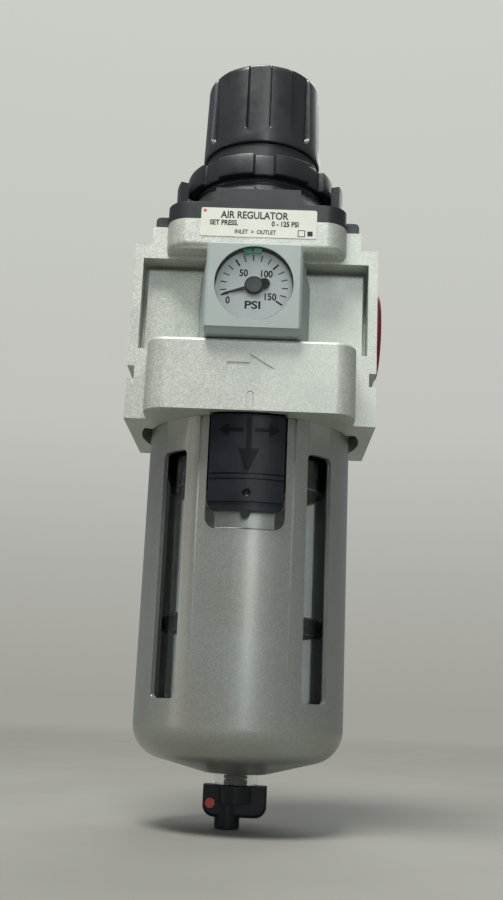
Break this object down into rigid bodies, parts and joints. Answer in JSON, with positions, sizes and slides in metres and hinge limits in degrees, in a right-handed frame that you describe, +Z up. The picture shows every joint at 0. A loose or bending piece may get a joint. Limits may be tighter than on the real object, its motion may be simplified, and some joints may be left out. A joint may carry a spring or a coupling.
{
  "type": "air filter-regulator",
  "caption": "Compressed-air filter-regulator: cast body with two pipe ports, pull-up setting knob, square gauge in front, and a guarded clear bowl with a drain cock.",
  "frame": {"origin": "centre of the inlet port's mouth, on the inlet face", "axes": "+X the way the air flows, from the inlet face to the outlet face; +Z up along the knob's axis; the gauge faces -Y"},
  "size_m": [0.0773, 0.0757, 0.24],
  "materials": {
    "die_cast": "silver-beige metallic paint with a fine sparkle",
    "guard_paint": "warm grey metallic paint",
    "black_plastic": "satin black moulded plastic",
    "knob_plastic": "satin black moulded plastic, polished by handling",
    "orange_plastic": "satin",
    "red_plastic": "soft crimson transit plug",
    "clear_bowl": "clear polycarbonate",
    "gauge_clear": "clear window",
    "gauge_frame": "light grey-green moulded plastic",
    "dial_white": "white printed dial",
    "needle_black": "black paint",
    "green_paint": "green paint",
    "red_paint": "printed red spot",
    "label_film": "cream film label",
    "filter_medium": "sintered white medium",
    "brass": "machined",
    "bright_steel": "bright zinc plated",
    "spring_steel": "drawn wire",
    "black_rubber": "matt"
  },
  "bodies": {
    "housing": {"body": "die_cast", "bonnet": "black_plastic", "bonnet_screws": "bright_steel", "panel_nut": "black_plastic", "lock_band": "orange_plastic", "valve_seat": "brass", "valve_guide": "black_plastic", "element_stud": "black_plastic", "deflector": "black_plastic", "element_gasket": "black_rubber", "filter_element": "filter_medium", "baffle": "black_plastic", "gauge_case": "gauge_frame", "gauge_lens": "gauge_clear", "gauge_dial": "dial_white", "gauge_socket": "brass", "pressure_tube": "brass", "gauge_seal": "black_rubber", "label": "label_film", "diaphragm": "black_rubber"},
    "setting_screw": {"setting_screw": "bright_steel"},
    "knob": {"knob": "knob_plastic"},
    "spring_nut": {"spring_nut": "brass", "regulating_spring": "spring_steel"},
    "valve": {"spring_plate": "bright_steel", "valve_stem": "bright_steel", "valve_disc": "brass", "valve_spring": "spring_steel"},
    "bowl": {"bowl": "clear_bowl", "bowl_seal": "black_rubber", "bowl_guard": "guard_paint", "button_spring": "spring_steel"},
    "lock_button": {"lock_button": "black_plastic"},
    "drain": {"drain_cock": "black_plastic", "drain_mark": "red_paint", "drain_seal": "black_rubber"},
    "needle": {"gauge_needle": "needle_black", "gauge_hub": "needle_black", "gauge_spindle": "brass"},
    "low_mark": {"low_mark": "green_paint"},
    "high_mark": {"high_mark": "green_paint"},
    "port_plug": {"port_plug": "red_plastic"}
  },
  "joints": [
    {"name": "setting_turn", "type": "hinge", "parent": "housing", "child": "setting_screw", "pos_m": [0.0375, 0, 0.06], "axis": [0, 0, 1], "range_deg": [0, 1620]},
    {"name": "knob_lift", "type": "slide", "parent": "setting_screw", "child": "knob", "axis": [0, 0, 1], "range_m": [0, 0.003]},
    {"name": "nut_travel", "type": "slide", "parent": "housing", "child": "spring_nut", "axis": [0, 0, -1], "range_m": [0, 0.00675], "deforming": ["regulating_spring"]},
    {"name": "valve_travel", "type": "slide", "parent": "housing", "child": "valve", "axis": [0, 0, -1], "range_m": [0, 0.0015], "stiffness_N_per_m": 600, "springref_m": -0.004, "deforming": ["valve_spring", "diaphragm"]},
    {"name": "bowl_turn", "type": "hinge", "parent": "housing", "child": "bowl", "pos_m": [0.0375, 0, -0.08], "axis": [0, 0, 1], "range_deg": [-45, 45]},
    {"name": "button_press", "type": "slide", "parent": "bowl", "child": "lock_button", "axis": [0, 0, -1], "range_m": [0, 0.004], "stiffness_N_per_m": 300, "springref_m": -0.004, "deforming": ["button_spring"]},
    {"name": "drain_turn", "type": "hinge", "parent": "bowl", "child": "drain", "pos_m": [0.0375, 0, -0.142], "axis": [0, 0, 1], "range_deg": [0, 90]},
    {"name": "needle_turn", "type": "hinge", "parent": "housing", "child": "needle", "pos_m": [0.0375, -0.036, 0.0012], "axis": [0, 1, 0], "range_deg": [0, 240]},
    {"name": "low_mark_turn", "type": "hinge", "parent": "housing", "child": "low_mark", "pos_m": [0.0375, -0.036, 0.0012], "axis": [0, 1, 0], "range_deg": [-98, 140]},
    {"name": "high_mark_turn", "type": "hinge", "parent": "housing", "child": "high_mark", "pos_m": [0.0375, -0.036, 0.0012], "axis": [0, 1, 0], "range_deg": [-114, 124]},
    {"name": "plug_pull", "type": "slide", "parent": "housing", "child": "port_plug", "axis": [1, 0, 0], "range_m": [0, 0.02]}
  ],
  "couplings": [
    {"joint": "nut_travel", "follows": "setting_turn", "m_per_rad": 0.00023873}
  ]
}
